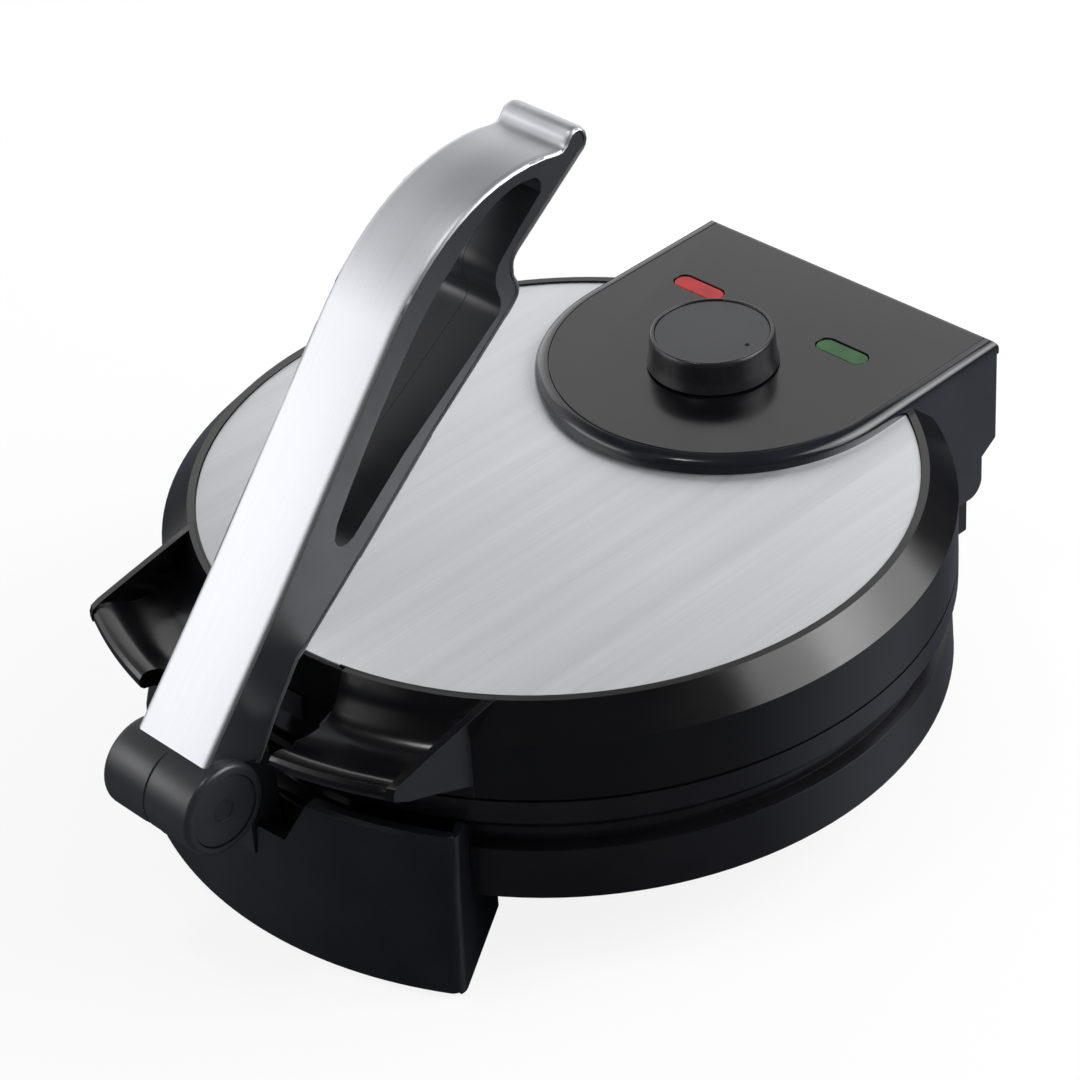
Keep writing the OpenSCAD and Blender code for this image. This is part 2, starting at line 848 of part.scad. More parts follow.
module cord_gland() {
    inside = rear_foot_r - bracket_t - 6;
    color("#1e1e20") translate([0, inside, gland_z]) rotate([-90, 0, 0]) difference() {
        union() {
            cylinder(h = 24, r = gland_r);
            cylinder(h = 3, r = 1.5 * gland_r);
            translate([0, 0, 12]) cylinder(h = 3, r = 1.4 * gland_r);
        }
        translate([0, 0, -1]) cylinder(h = 30, r = 0.65 * gland_r);
    }
}

// --- front bracket ---------------------------------------------------------

module bracket_screw_places() {
    for (s = [-1, 1]) rotate([0, 0, -90 + s * 22]) translate([base_r, 0, (shelf_z + wall_z) / 2]) children();
}

// Section of the curved front wall of the bracket
bracket_mid_z = bracket_top_z - 0.3 * (bracket_top_z - foot_z);
bracket_section = [
    [bracket_top_r - 1.2, bracket_top_z],
    [bracket_top_r, bracket_top_z - 1],
    [bracket_r - 3.4, bracket_mid_z],
    [bracket_r, foot_z + 1],
    [bracket_r - 1, foot_z],
    [bracket_r - bracket_t, foot_z],
    [bracket_r - bracket_t - 3.4, bracket_mid_z],
    [bracket_top_r - bracket_t, bracket_top_z],
];

// Sector of the plan between the bracket's ends, or between its end walls
module bracket_sector(end_t = 0) {
    apex = end_t / sin(bracket_half_angle);
    reach = 2 * bracket_r;
    side = reach * sin(bracket_half_angle);
    front = reach * cos(bracket_half_angle);
    translate([0, -apex, -big / 2]) linear_extrude(2 * big)
        polygon([[0, 0], [-side, -front], [side, -front]]);
}

// Section of the end walls, which run in under the base to a heel
heel_in = 26.5;
end_section = [
    [body_r - heel_in, foot_z],
    [bracket_r - 2, foot_z],
    [bracket_r - 5.2, bracket_mid_z],
    [bracket_top_r - 2, bracket_top_z],
    [body_r + 0.2, bracket_top_z],
    [body_r - 2.9, band_z - 3.9],
    [body_r - 5.7, recess_z - 0.2],
    [body_r - 5.7, wall_z + 1.7],
    [base_r + 0.1, wall_z],
    [base_r + 0.1, base_z - 0.2],
    [body_r - heel_in, base_z - 0.2],
];

notch_hw = 24.5;
notch_floor_hw = 17;
module lug_notch() {
    notch_z = bracket_top_z - 15.5;
    translate([0, -body_r, 0]) rotate([90, 0, 0]) linear_extrude(big) polygon([
        [-notch_hw, bracket_top_z + 1],
        [-notch_floor_hw, notch_z],
        [-lug_ht - 0.4, notch_z],
        [-lug_ht - 0.4, shelf_z],
        [lug_ht + 0.4, shelf_z],
        [lug_ht + 0.4, notch_z],
        [notch_floor_hw, notch_z],
        [notch_hw, bracket_top_z + 1],
    ]);
}

module front_bracket() {
    flange_r = base_r + 0.1;
    color("#1a1c22") difference() {
        intersection() {
            union() {
                ring(bracket_section);
                ring([
                    [flange_r, base_z + 0.2],
                    [bracket_r - 5.5, base_z + 0.2],
                    [bracket_r - 6, shelf_z],
                    [flange_r, shelf_z],
                ]);
                ring([
                    [flange_r, base_z + 0.2],
                    [flange_r + 3, base_z + 0.2],
                    [flange_r + 3, wall_z - 2],
                    [flange_r, wall_z - 2],
                ]);
                ring([
                    [bracket_r - 12, foot_z],
                    [bracket_r - 2, foot_z],
                    [bracket_r - 2, foot_z + wall],
                    [bracket_r - 12, foot_z + wall],
                ]);
                difference() {
                    ring(end_section);
                    bracket_sector(wall);
                }
            }
            bracket_sector();
        }
        lug_notch();
        bracket_screw_places() rod_x(-3 * wall, 8, 1.6);
        lug_screw_places() translate([0, 0, base_z]) cylinder(h = big, r = 1.6, $fn = 24);
    }
}

module bracket_screws() {
    color("#9a9ca0") bracket_screw_places() {
        rod_x(-2 * wall, 3.1, 1.5);
        rod_x(3.1, 5, 3);
    }
}

module front_pads() {
    color("#2b2b2b") both_sides() intersection() {
        ring([
            [bracket_r - 11, 0],
            [bracket_r - 2.5, 0],
            [bracket_r - 2.5, foot_z],
            [bracket_r - 11, foot_z],
        ]);
        translate([0.36 * bracket_hw, -big, 0]) cube([0.4 * bracket_hw, big, big]);
    }
}

// --- pivot and lever -------------------------------------------------------

lug_back_y = body_r + 2.4;

module lug_screw_places() {
    for (s = [-1, 1]) translate([s * 0.78 * barrel_r, -lug_back_y - 3, 0]) children();
}

module pivot_lug() {
    foot_top = shelf_z + lug_foot_t;
    reach = pivot_y - lug_back_y;
    color("#3c3e42") difference() {
        union() {
            translate([0, -pivot_y, pivot_z]) {
                rod_x(-lug_ht, lug_ht, 0.79 * barrel_r);
                along_x(-lug_ht, lug_ht) polygon([
                    [0, 4.5],
                    [0.5 * reach, 2.5],
                    [0.84 * reach, -1],
                    [reach, -7],
                    [reach, shelf_z - pivot_z],
                    [0.62 * reach, shelf_z - pivot_z],
                    [0.62 * reach, -15],
                    [0.42 * reach, -9.5],
                    [0, -6],
                ]);
            }
            slab(1.17 * barrel_r, -lug_back_y - 6, -lug_back_y, shelf_z, foot_top);
        }
        translate([0, -pivot_y, pivot_z]) rod_x(-big, big, pivot_pin_r + 0.02);
        lug_screw_places() translate([0, 0, shelf_z - 1]) cylinder(h = big, r = 1.6, $fn = 24);
    }
}

module lug_screws() {
    color("#9a9ca0") lug_screw_places() translate([0, 0, shelf_z + lug_foot_t + 2])
        mirror([0, 0, 1]) screw(2.8, 2, 1.5, lug_foot_t + 3.5);
}

pin_end = barrel_hl - 2.8;
module pivot_pin() {
    color("#a9abae") translate([0, -pivot_y, pivot_z]) rod_x(-pin_end, pin_end, pivot_pin_r);
}

// Side outline of the lever from its pivot, as shares of its length:
// up the front, round the curled tip and back down the finger side
lever_side = lever_len * concat(
    [[-0.016, 0.058], [0.147, 0.248]],
    curve([0.362, 0.512], [0.432, 0.600], [0.520, 0.668], [0.640, 0.665], 12),
    curve([0.668, 0.663], [0.690, 0.660], [0.698, 0.655], [0.706, 0.662], 4),
    curve([0.711, 0.668], [0.718, 0.682], [0.740, 0.682], [0.747, 0.666], 5),
    curve([0.749, 0.655], [0.747, 0.646], [0.742, 0.641], [0.734, 0.636], 3),
    curve([0.618, 0.553], [0.606, 0.545], [0.600, 0.540], [0.600, 0.530], 4),
    curve([0.600, 0.522], [0.600, 0.514], [0.607, 0.510], [0.607, 0.498], 4),
    curve([0.607, 0.492], [0.607, 0.484], [0.598, 0.474], [0.580, 0.461], 4),
    [[0.519, 0.415], [0.431, 0.351], [0.288, 0.234], [0.184, 0.152]],
    [[0.166, 0.141], [0.124, 0.086], [0.080, 0.020]]
);

// Through slot for the fingers, with two ridges on its rear side
lever_slot = lever_len * concat(
    curve([0.642, 0.640], [0.600, 0.650], [0.550, 0.626], [0.510, 0.591], 8),
    curve([0.478, 0.566], [0.430, 0.534], [0.330, 0.414], [0.256, 0.306], 8),
    curve([0.248, 0.284], [0.252, 0.262], [0.272, 0.264], [0.290, 0.280], 5),
    [[0.381, 0.351], [0.495, 0.425]],
    curve([0.552, 0.463], [0.568, 0.472], [0.573, 0.480], [0.571, 0.494], 5),
    [[0.567, 0.508]],
    curve([0.565, 0.516], [0.565, 0.528], [0.568, 0.538], [0.578, 0.548], 5),
    [[0.615, 0.580], [0.648, 0.606]],
    curve([0.658, 0.614], [0.662, 0.626], [0.657, 0.636], [0.649, 0.639], 4)
);

function unit(v) = v / max(norm(v), 0.0001);
function left_of(v) = [-v[1], v[0]];

// The outline moved inwards by d at each point
function inset(p, d) = let (n = len(p)) [for (i = [0 : n - 1])
    let (a = unit(p[i] - p[(i + n - 1) % n]), b = unit(p[(i + 1) % n] - p[i]))
    let (m = unit(left_of(a) + left_of(b)))
    p[i] - d * m / max(m * left_of(a), 0.6)];

module lever_wedge(trim) {
    low = -0.2 * lever_len;
    high = 0.75 * lever_len;
    step = (lever_hw - tip_hw) / 0.62;
    rotate([90, 0, 0]) translate([0, 0, -lever_len]) linear_extrude(2 * lever_len) polygon([
        [-lever_hw - 0.27 * step + trim, low],
        [lever_hw + 0.27 * step - trim, low],
        [tip_hw - 0.07 * step - trim, high],
        [-tip_hw + 0.07 * step + trim, high],
    ]);
}

module at_pivot() {
    translate([0, -pivot_y, pivot_z]) children();
}

module lever_skin() {
    color("#d5d6d8") at_pivot() difference() {
        intersection() {
            along_x(-lever_hw - 2, lever_hw + 2) polygon(lever_side);
            lever_wedge(0);
        }
        along_x(-lever_hw - 3, lever_hw + 3) polygon(concat(
            inset(lever_side, skin_t),
            [lever_len * [0, -0.1], lever_len * [-0.1, -0.02]]
        ));
        rod_x(-big, big, barrel_r + eps);
    }
}

// Space that the fixed lug sweeps through as the lever swings
module lug_sweep() {
    rod_x(-lug_ht - 0.4, lug_ht + 0.4, 0.83 * barrel_r);
    rotate([90, 0, 90]) translate([0, 0, -lug_ht - 0.4]) linear_extrude(2 * lug_ht + 0.8) polygon(concat(
        [[0, 0]],
        [for (a = [-154 : 12 : 26]) 1.35 * barrel_r * [cos(a), sin(a)]]
    ));
}

// Half of the barrel, with a rounded end and a chamfer at the seam
module barrel_half() {
    seam = 0.35;
    end_round = 2;
    centre = [barrel_r - end_round, barrel_hl - end_round];
    rotate([0, 90, 0]) rotate_extrude($fn = 120) polygon(concat(
        [[0, eps], [barrel_r - seam, eps], [barrel_r, eps + seam]],
        [for (a = [0 : 15 : 90]) centre + end_round * [cos(a), sin(a)]],
        [[0, barrel_hl]]
    ));
}

module lever_half() {
    bush_r = pivot_pin_r + 1.6;
    cap_x = barrel_hl - 2.4;
    difference() {
        union() {
            intersection() {
                along_x(eps, lever_hw + 1) polygon(inset(lever_side, skin_t));
                lever_wedge(0.5);
            }
            barrel_half();
        }
        along_x(-1, lever_hw + 3) polygon(lever_slot);
        lug_sweep();
        rod_x(-1, cap_x + 1, bush_r + 0.02);
        rod_x(cap_x, barrel_hl + 1, 0.8 * barrel_r);
        along_x(-1, 0.7 * lever_hw) polygon(lever_len * [
            [0.10, 0.124],
            [0.13, 0.194],
            [0.225, 0.279],
            [0.235, 0.229],
            [0.165, 0.166],
        ]);
        lever_screw_places() rod_x(-1, 0.8 * lever_hw, screw_r + 0.4);
    }
}

module lever_screw_places() {
    for (p = [[0.074, 0.119], [0.247, 0.239], [0.675, 0.639]])
        translate([0, p[0] * lever_len, p[1] * lever_len]) children();
}

module lever_right_shell() {
    color("#26272a") at_pivot() lever_half();
}

module lever_left_shell() {
    color("#26272a") at_pivot() mirror([1, 0, 0]) lever_half();
}

module lever_bushes() {
    color("#b08d4a") at_pivot() both_sides() difference() {
        rod_x(lug_ht + 0.6, 0.75 * barrel_hl, pivot_pin_r + 1.6);
        rod_x(0, barrel_hl, pivot_pin_r + run_c);
    }
}

module barrel_caps() {
    cap_r = 0.79 * barrel_r;
    color("#1c1d20") at_pivot() both_sides() difference() {
        rod_x(barrel_hl - 2.4, barrel_hl - 0.6, cap_r);
        rod_x(barrel_hl - 1.2, barrel_hl, 0.3 * cap_r);
    }
}

module lever_screws() {
    color("#9a9ca0") at_pivot() lever_screw_places() rod_x(-0.7 * lever_hw, 0.7 * lever_hw, screw_r + 0.35);
}

placed() lid_shell();
placed() left_press_tray();
placed() right_press_tray();
placed() lid_disc();
placed() press_pad();
placed() upper_heat_shield();
placed() upper_plate();
placed() upper_element();
placed() upper_plate_posts();
placed() lid_screws();
placed() control_box();
placed() control_panel();
placed() power_lens();
placed() ready_lens();
placed() indicator_lamps();
placed() thermostat();
placed() spindle();
placed() knob();
placed() knob_insert();
placed() base_shell();
placed() bottom_cover();
placed() lower_heat_shield();
placed() lower_plate();
placed() lower_element();
placed() lower_plate_posts();
placed() terminal_block();
placed() shield_screws();
placed() cover_screws();
placed() hinge_tower();
placed() hinge_pins();
placed() rear_foot();
placed() rear_pads();
placed() cord_gland();
placed() front_bracket();
placed() bracket_screws();
placed() front_pads();
placed() pivot_lug();
placed() lug_screws();
placed() pivot_pin();
placed() lever_left_shell();
placed() lever_right_shell();
placed() lever_skin();
placed() lever_bushes();
placed() barrel_caps();
placed() lever_screws();
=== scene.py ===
import json
import math

import bmesh
import bpy
from mathutils import Matrix, Vector
from mathutils.bvhtree import BVHTree

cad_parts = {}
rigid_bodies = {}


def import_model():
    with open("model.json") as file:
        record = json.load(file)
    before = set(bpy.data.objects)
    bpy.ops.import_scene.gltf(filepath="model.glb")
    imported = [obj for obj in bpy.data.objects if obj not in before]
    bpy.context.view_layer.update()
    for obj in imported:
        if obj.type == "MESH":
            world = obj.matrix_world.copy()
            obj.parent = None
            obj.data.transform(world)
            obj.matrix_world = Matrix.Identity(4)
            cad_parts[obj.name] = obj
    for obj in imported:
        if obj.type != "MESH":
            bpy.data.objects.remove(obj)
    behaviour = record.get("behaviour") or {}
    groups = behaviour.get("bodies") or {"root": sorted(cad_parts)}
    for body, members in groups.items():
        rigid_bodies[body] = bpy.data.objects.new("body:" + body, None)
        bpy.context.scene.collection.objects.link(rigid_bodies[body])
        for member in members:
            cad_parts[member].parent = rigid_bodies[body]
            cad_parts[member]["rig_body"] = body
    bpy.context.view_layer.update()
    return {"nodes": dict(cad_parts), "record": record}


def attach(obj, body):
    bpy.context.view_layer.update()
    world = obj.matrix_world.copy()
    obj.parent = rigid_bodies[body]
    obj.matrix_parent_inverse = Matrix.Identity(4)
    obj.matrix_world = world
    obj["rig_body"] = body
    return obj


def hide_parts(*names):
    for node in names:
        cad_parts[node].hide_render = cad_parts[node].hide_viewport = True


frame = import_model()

MM = 0.001

AXIS_Y = 16.95          # body axis in mm, seen from the middle of the whole object


# --- materials -------------------------------------------------------------

BRUSH_MAP = "brush"     # UV map of the brushed sheets, in metres across and along the lines


def linear(hex_colour):
    """sRGB hex such as "c4c6c9" to a linear RGBA colour."""
    values = [int(hex_colour[i:i + 2], 16) / 255 for i in (0, 2, 4)]
    return [v / 12.92 if v <= 0.04045 else ((v + 0.055) / 1.055) ** 2.4 for v in values] + [1.0]


def add(tree, kind, links=None, values=None, **settings):
    """Adds one node with its settings, socket values and incoming links."""
    node = tree.nodes.new(kind)
    for name, value in settings.items():
        setattr(node, name, value)
    for socket, value in (values or {}).items():
        node.inputs[socket].default_value = value
    for socket, source in (links or {}).items():
        tree.links.new(source, node.inputs[socket])
    return node


def new_material(name, **values):
    """A material with one Principled shader and the object's own coordinates."""
    material = bpy.data.materials.new(name)
    material.use_nodes = True
    tree = material.node_tree
    shader = tree.nodes["Principled BSDF"]
    for socket, value in values.items():
        shader.inputs[socket.replace("_", " ")].default_value = value
    coords = add(tree, "ShaderNodeTexCoord").outputs["Object"]
    return material, tree, shader, coords


def noise(tree, place, size_mm, detail, **values):
    """Noise whose shapes are about size_mm across."""
    values = {"Scale": 1 / (size_mm * MM), "Detail": detail, **values}
    return add(tree, "ShaderNodeTexNoise", {"Vector": place}, values).outputs["Fac"]


def vary_colour(tree, shader, coords, low, high, size_mm, detail=3.0):
    """Slow drift between two close colours over size_mm."""
    ramp = add(tree, "ShaderNodeValToRGB", {"Fac": noise(tree, coords, size_mm, detail)})
    ramp.color_ramp.elements[0].position = 0.35
    ramp.color_ramp.elements[0].color = linear(low)
    ramp.color_ramp.elements[1].position = 0.65
    ramp.color_ramp.elements[1].color = linear(high)
    tree.links.new(ramp.outputs["Color"], shader.inputs["Base Color"])


def vary_roughness(tree, shader, coords, low, high, size_mm, detail=2.0):
    """Slow drift between two roughnesses over size_mm."""
    spread = add(tree, "ShaderNodeMapRange", {"Value": noise(tree, coords, size_mm, detail)},
                 {"From Min": 0.3, "From Max": 0.7, "To Min": low, "To Max": high})
    tree.links.new(spread.outputs["Result"], shader.inputs["Roughness"])


def grain_bump(tree, shader, coords, size_mm, height_mm, detail=2.0):
    """Fine grain of the surface, height_mm deep."""
    bump = add(tree, "ShaderNodeBump", {"Height": noise(tree, coords, size_mm, detail)},
               {"Distance": height_mm * MM, "Strength": 1.0})
    tree.links.new(bump.outputs["Normal"], shader.inputs["Normal"])


def polished_abs():
    """Black ABS from a polished mould: mirror-like, with the faint waviness of a thin moulding."""
    material, tree, shader, coords = new_material("polished_black_abs", IOR=1.54)
    vary_colour(tree, shader, coords, "08080a", "0c0c0f", 40)
    vary_roughness(tree, shader, coords, 0.17, 0.23, 18)
    grain_bump(tree, shader, coords, 9, 0.012)
    return material


def satin_abs(name, low, high, rough_low, rough_high, grain_mm=0.7, height_mm=0.012):
    """ABS from a spark-eroded mould: a fine even grain that breaks up the highlight."""
    material, tree, shader, coords = new_material(name, IOR=1.54)
    vary_colour(tree, shader, coords, low, high, 30)
    vary_roughness(tree, shader, coords, rough_low, rough_high, 14)
    grain_bump(tree, shader, coords, grain_mm, height_mm)
    return material


def brushed_steel(name, low, high, rough, anisotropy):
    """Steel sheet brushed in straight lines: its highlight spreads across the lines and stays narrow
    along them. The belt's lines are about 0.1 mm apart; they are drawn 0.4 mm apart so that they show."""
    material, tree, shader, _ = new_material(name, Metallic=1.0, Anisotropic=anisotropy)
    across = add(tree, "ShaderNodeTangent", direction_type="UV_MAP", uv_map=BRUSH_MAP)
    tree.links.new(across.outputs["Tangent"], shader.inputs["Tangent"])
    sheet = add(tree, "ShaderNodeUVMap", uv_map=BRUSH_MAP).outputs["UV"]
    lines = add(tree, "ShaderNodeMapping", {"Vector": sheet}, {"Scale": (1.0, 0.006, 1.0)})
    fine = noise(tree, lines.outputs["Vector"], 0.4, 4.0, Roughness=0.6)
    broad = noise(tree, lines.outputs["Vector"], 7, 2.0)
    both = add(tree, "ShaderNodeMath", {0: fine, 1: broad}, operation="ADD")
    shade = add(tree, "ShaderNodeMapRange", {"Value": both.outputs["Value"]},
                {"From Min": 0.7, "From Max": 1.3})
    colour = add(tree, "ShaderNodeMix", {"Factor": shade.outputs["Result"]}, data_type="RGBA")
    colour.inputs["A"].default_value = linear(low)
    colour.inputs["B"].default_value = linear(high)
    tree.links.new(colour.outputs["Result"], shader.inputs["Base Color"])
    spread = add(tree, "ShaderNodeMapRange", {"Value": both.outputs["Value"]},
                 {"From Min": 0.7, "From Max": 1.3, "To Min": rough - 0.02, "To Max": rough + 0.02})
    tree.links.new(spread.outputs["Result"], shader.inputs["Roughness"])
    bump = add(tree, "ShaderNodeBump", {"Height": fine}, {"Distance": 0.004 * MM, "Strength": 0.4})
    tree.links.new(bump.outputs["Normal"], shader.inputs["Normal"])
    return material


def plain_metal(name, low, high, rough, grain_mm=0.8):
    """Small metal part with a light machined or plated surface."""
    material, tree, shader, coords = new_material(name, Metallic=1.0)
    vary_colour(tree, shader, coords, low, high, 6)
    vary_roughness(tree, shader, coords, rough - 0.05, rough + 0.05, 4)
    grain_bump(tree, shader, coords, grain_mm, 0.01)
    return material


def coloured_lens(name, low, high):
    """Clear coloured polycarbonate over a lamp: polished face, light that goes a little way in."""
    material, tree, shader, coords = new_material(name, IOR=1.42)
    vary_colour(tree, shader, coords, low, high, 8)
    shader.inputs["Subsurface Weight"].default_value = 0.2
    shader.inputs["Subsurface Radius"].default_value = [0.003, 0.001, 0.001]
    vary_roughness(tree, shader, coords, 0.12, 0.2, 5)
    grain_bump(tree, shader, coords, 1.5, 0.02)
    return material


def fired_ceramic():
    """Unglazed steatite of the thermostat and terminal block: pale, dull and finely grained."""
    material, tree, shader, coords = new_material("fired_steatite", IOR=1.5)
    vary_colour(tree, shader, coords, "b8b1a2", "c9c3b5", 5)
    vary_roughness(tree, shader, coords, 0.6, 0.75, 3)
    grain_bump(tree, shader, coords, 0.4, 0.02)
    return material


def moulded_rubber():
    """Black rubber of the pads and the cord gland: soft, dull, slightly dusty."""
    material, tree, shader, coords = new_material("moulded_rubber", IOR=1.52)
    vary_colour(tree, shader, coords, "161616", "1f1f1f", 10)
    vary_roughness(tree, shader, coords, 0.62, 0.78, 5)
    grain_bump(tree, shader, coords, 0.5, 0.02)
    return material


def non_stick_plate():
    """Cast aluminium with a dark non-stick coat: smooth, with the coat's fine pebbling."""
    material, tree, shader, coords = new_material("non_stick_coat", IOR=1.45)
    vary_colour(tree, shader, coords, "1a1a1c", "232326", 12)
    vary_roughness(tree, shader, coords, 0.3, 0.42, 6)
    grain_bump(tree, shader, coords, 0.6, 0.03)
    return material


def clear_glass():
    """Glass of the small neon lamps under the lenses."""
    material, tree, shader, coords = new_material("lamp_glass", IOR=1.5)
    shader.inputs["Transmission Weight"].default_value = 0.7
    vary_colour(tree, shader, coords, "d8d2c6", "e4dfd5", 4)
    vary_roughness(tree, shader, coords, 0.05, 0.12, 3)
    return material


materials = {
    "lid_plastic": polished_abs(),
    "disc_steel": brushed_steel("straight_brushed_steel", "cacbce", "d8d9dc", 0.42, 0.72),
    "shield_steel": plain_metal("pressed_aluminised_steel", "8b8d91", "9c9ea2", 0.42),
    "cooking_plate": non_stick_plate(),
    "element_steel": plain_metal("drawn_element_tube", "5b5a5b", "6f6c6a", 0.45),
    "plate_post": plain_metal("cast_aluminium", "a3a5a8", "b5b7ba", 0.5),
    "screw_steel": plain_metal("zinc_plated_steel", "8f9296", "a5a8ac", 0.33),
    "box_plastic": satin_abs("glossy_graphite_abs", "17181d", "1d1e24", 0.13, 0.2, 2.0, 0.004),
    "panel_plastic": polished_abs(),
    "red_lens": coloured_lens("red_polycarbonate", "8e0004", "b00208"),
    "green_lens": coloured_lens("green_polycarbonate", "12401a", "1d5523"),
    "lamp_glass": clear_glass(),
    "thermostat_ceramic": fired_ceramic(),
    "brass": plain_metal("turned_brass", "b39a52", "c4ab62", 0.3),
    "knob_plastic": satin_abs("satin_black_knob_abs", "1b1b1e", "222225", 0.24, 0.34, 0.6, 0.008),
    "knob_insert_plastic": satin_abs("knob_face_abs", "1d1e21", "212225", 0.3, 0.32, 0.5, 0.003),
    "base_plastic": satin_abs("black_base_abs", "0c0c0f", "121216", 0.18, 0.27, 0.8, 0.006),
    "dark_plastic": satin_abs("black_hidden_abs", "111113", "171719", 0.4, 0.5),
    "bracket_plastic": satin_abs("blue_black_bracket_abs", "0d0f14", "13161d", 0.3, 0.4, 0.8, 0.012),
    "pad_rubber": moulded_rubber(),
    "pin_steel": plain_metal("ground_steel_pin", "9b9ea2", "aeb1b5", 0.25),
    "lug_metal": satin_abs("dark_powder_coat", "1b1c20", "24262b", 0.35, 0.45, 0.5, 0.02),
    "lever_plastic": satin_abs("satin_black_lever_abs", "242528", "2b2c30", 0.3, 0.4, 0.7, 0.01),
    "lever_skin_metal": brushed_steel("satin_lever_skin", "c8c9cd", "d2d3d7", 0.46, 0.3),
}

slot_of = {row["node"]: row["material_slot"] for row in frame["record"]["subparts"]}
for name, piece in frame["nodes"].items():
    piece.data.materials.clear()
    piece.data.materials.append(materials[slot_of[name]])


# --- pieces ----------------------------------------------------------------

SAME_PLACE = 0.002 * MM             # CAD points closer than this are one
FLAT_ANGLE = math.radians(0.6)      # faces that meet flatter than this become one
SHARP_ANGLE = math.radians(30)      # edges sharper than this keep a crease
ROUNDED_ANGLE = math.radians(28)    # edges sharper than this are rounded
SKIN_ROLL = 2.4 * MM                # width of the skin's rolled rims
SKIN_ROLL_DEPTH = 1.1 * MM
SKIN_SHEET = 0.7 * MM
SKIN_REACH = 4 * MM                 # farther than the CAD skin is thick
BRACKET_CORNER_RADIUS = 4.5 * MM

EDGE_ROUNDING_MM = {
    "lid_shell": 0.5, "control_box": 0.8, "control_panel": 0.3, "base_shell": 0.5, "front_bracket": 0.9,
    "left_press_tray": 0.6, "right_press_tray": 0.6, "knob": 0.4, "knob_insert": 0.25, "rear_foot": 0.6,
    "hinge_tower": 0.8, "bottom_cover": 0.3, "pivot_lug": 0.6, "barrel_caps": 0.3, "cord_gland": 0.5,
    "lever_left_shell": 0.8, "lever_right_shell": 0.8, "power_lens": 1.0, "ready_lens": 1.0,
    "upper_plate": 0.5, "lower_plate": 0.5, "lid_disc": 0.15, "front_pads": 0.3, "rear_pads": 0.3,
}


def cad_shape(node):
    """The CAD node's mesh, with points that share a place joined."""
    shape = bmesh.new()
    shape.from_mesh(frame["nodes"][node].data)
    bmesh.ops.remove_doubles(shape, verts=shape.verts, dist=SAME_PLACE)
    return shape


def joined_flats(shape):
    bmesh.ops.dissolve_limit(shape, angle_limit=FLAT_ANGLE, verts=shape.verts, edges=shape.edges)


def cut_all(shape, place, normal):
    """Cuts every face that the plane crosses, and takes nothing away."""
    bmesh.ops.bisect_plane(shape, geom=shape.verts[:] + shape.edges[:] + shape.faces[:],
                           plane_co=place, plane_no=normal)


def mirrored(vector, side):
    """The same vector seen on the right, for side 1, or on the left, for side -1."""
    return Vector((side * vector.x, vector.y, vector.z))


def finished(shape, name, slot, body, stands_for):
    """Turns a bmesh into a piece that rides on its body in place of CAD nodes."""
    for face in shape.faces:
        face.smooth = True
    for edge in shape.edges:
        edge.smooth = len(edge.link_faces) == 2 and edge.calc_face_angle(0.0) < SHARP_ANGLE
    mesh = bpy.data.meshes.new(name)
    shape.to_mesh(mesh)
    shape.free()
    mesh.materials.append(materials[slot])
    piece = bpy.data.objects.new(name, mesh)
    bpy.context.scene.collection.objects.link(piece)
    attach(piece, body)
    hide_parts(stands_for)
    return piece


def outer_sheet(shape, core):
    """Keeps the faces of the skin that lie over the lever's core and look away from it."""
    inner = []
    for face in shape.faces:
        middle = face.calc_center_median()
        middle.x = 3 * MM           # inside the right half of the core
        if abs(face.normal.x) > 0.3 or not core.ray_cast(middle, -face.normal, SKIN_REACH)[0]:
            inner.append(face)
    bmesh.ops.delete(shape, geom=inner, context="FACES")


def rolled_skin():
    """The lever's skin as one bent sheet: its outer side from the CAD node, with the long rims rolled in."""
    half = bmesh.new()
    half.from_mesh(frame["nodes"]["lever_right_shell"].data)
    core = BVHTree.FromBMesh(half)
    half.free()
    shape = cad_shape("lever_skin")
    right_side = max(shape.faces, key=lambda face: face.normal.x)
    normal, rim = right_side.normal.copy(), right_side.verts[0].co.copy()
    outer_sheet(shape, core)
    joined_flats(shape)
    for side in (1, -1):
        for share in (0.12, 0.3, 0.6, 1.0):
            outwards = mirrored(normal, side)
            cut_all(shape, mirrored(rim, side) - share * SKIN_ROLL * outwards, outwards)
    shape.normal_update()
    moves = []
    for vert in shape.verts:
        side = math.copysign(1, vert.co.x)
        from_rim = max(0.0, (mirrored(rim, side) - vert.co).dot(mirrored(normal, side)))
        into_roll = max(0.0, 1 - from_rim / SKIN_ROLL)
        moves.append(SKIN_ROLL_DEPTH * (1 - math.sqrt(1 - into_roll ** 2)) * vert.normal)
    for vert, move in zip(shape.verts, moves):
        vert.co -= move
    lay_brush_map(shape)
    piece = finished(shape, "lever_skin_finish", slot_of["lever_skin"], "lever", "lever_skin")
    sheet = piece.modifiers.new("sheet thickness", "SOLIDIFY")
    sheet.thickness = SKIN_SHEET
    sheet.offset = -1


def softened(node, width_mm):
    """A CAD node with its sharp edges rounded, as a moulding's are."""
    shape = cad_shape(node)
    joined_flats(shape)
    if node == "lid_disc":
        lay_brush_map(shape)
    if node == "front_bracket":
        round_bracket_ends(shape, BRACKET_CORNER_RADIUS)
    bmesh.ops.recalc_face_normals(shape, faces=shape.faces)
    piece = finished(shape, node + "_finish", slot_of[node], frame["nodes"][node]["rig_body"], node)
    soft = piece.modifiers.new("edge rounding", "BEVEL")
    soft.width = width_mm * MM
    soft.segments = 3
    soft.limit_method = "ANGLE"
    soft.angle_limit = ROUNDED_ANGLE
    soft.harden_normals = True
    soft.use_clamp_overlap = True


